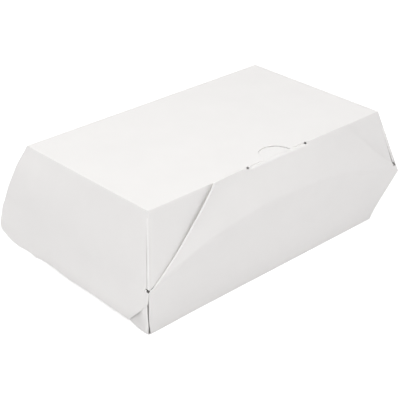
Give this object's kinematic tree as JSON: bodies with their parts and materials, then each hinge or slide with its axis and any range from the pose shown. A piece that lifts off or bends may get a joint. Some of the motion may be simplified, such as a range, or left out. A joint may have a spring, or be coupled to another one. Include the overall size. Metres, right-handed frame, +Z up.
{
  "type": "takeout food box",
  "caption": "Folded white paperboard takeout box with flared tray, closed lid with end flaps, and a front locking flap whose tab tucks into a slit with a thumb notch",
  "frame": {"origin": "centre of the underside, on the surface that the box stands on", "axes": "+X along the box, -Y towards the locking flap at the front, +Z up"},
  "size_m": [0.231, 0.136, 0.0825],
  "materials": {
    "board": "smooth white coated paperboard"
  },
  "bodies": {
    "box": {"tray": "board", "lid": "board"},
    "flap": {"lock_flap": "board"}
  },
  "joints": [
    {"name": "flap_hinge", "type": "hinge", "parent": "box", "child": "flap", "pos_m": [0, -0.068, 0.0394], "axis": [1, 0, 0], "range_deg": [0, 120]}
  ]
}
